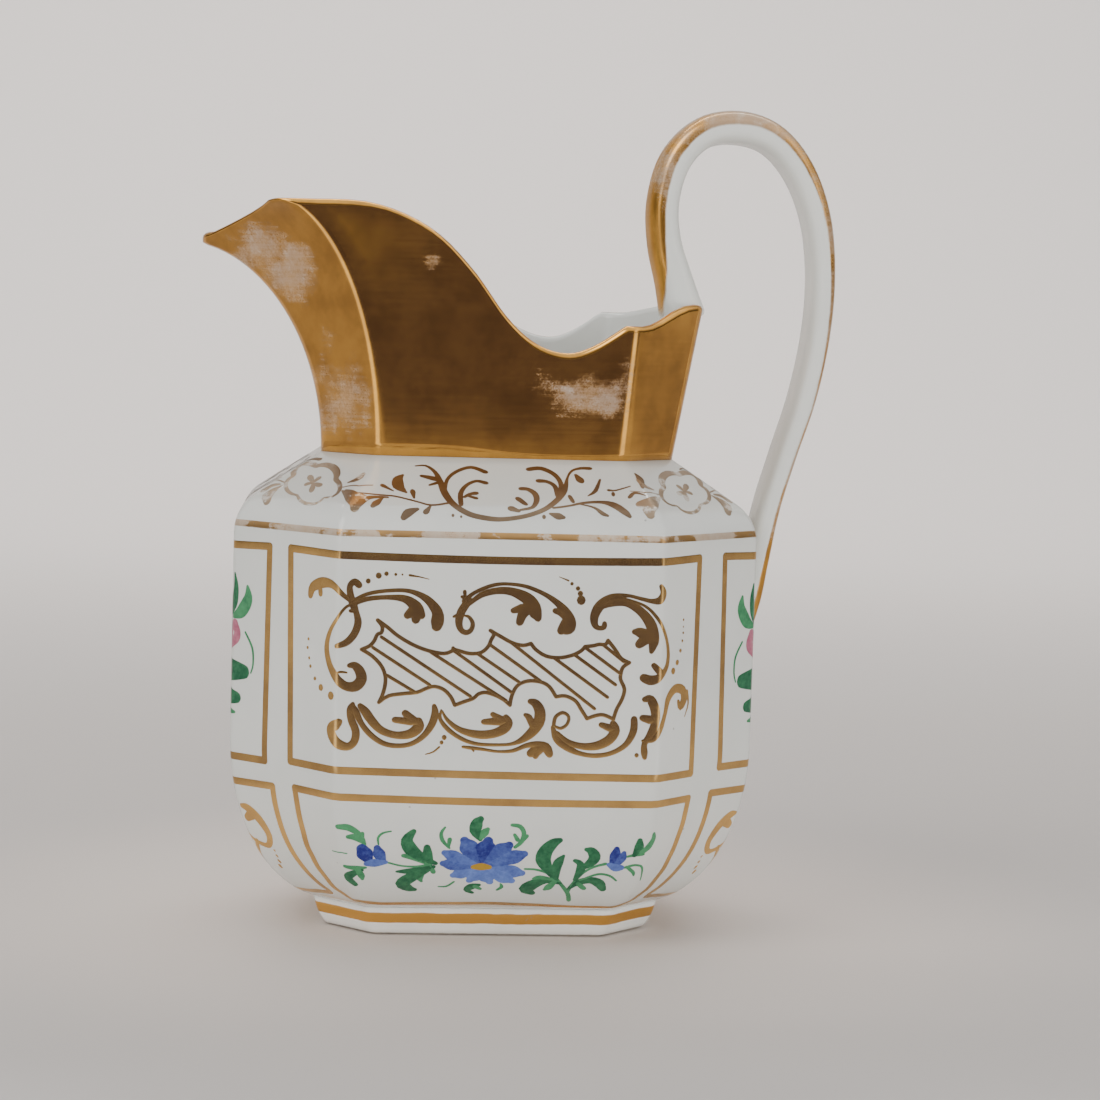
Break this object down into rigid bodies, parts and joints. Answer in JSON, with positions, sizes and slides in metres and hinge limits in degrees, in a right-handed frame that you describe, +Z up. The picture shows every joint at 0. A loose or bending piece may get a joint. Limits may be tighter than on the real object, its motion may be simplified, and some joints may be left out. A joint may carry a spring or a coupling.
{
  "type": "cream jug",
  "caption": "Octagonal porcelain cream jug with a helmet-shaped pouring spout, faceted neck, rounded belly on a foot ring, and a high looped strap handle.",
  "frame": {"origin": "centre of the foot ring, on the plane it stands on", "axes": "+Z up; the spout points to -X, the handle to +X, the front facet faces -Y"},
  "size_m": [0.1311, 0.084, 0.1699],
  "materials": {
    "porcelain": "clear gloss glaze over cool white hard-paste porcelain",
    "gilt_porcelain": "burnished gilding over glazed porcelain, worn through in places",
    "gilding": "fired-on burnished gold, thin and slightly worn",
    "enamel_blue": "glossy overglaze enamel",
    "enamel_green": "glossy overglaze enamel",
    "enamel_pink": "glossy overglaze enamel",
    "enamel_yellow": "glossy overglaze enamel"
  },
  "bodies": {
    "root": {"foot_ring": "porcelain", "body_shell": "porcelain", "neck_and_spout": "gilt_porcelain", "handle": "porcelain", "rim_luting": "porcelain", "body_luting": "porcelain"}
  },
  "joints": []
}
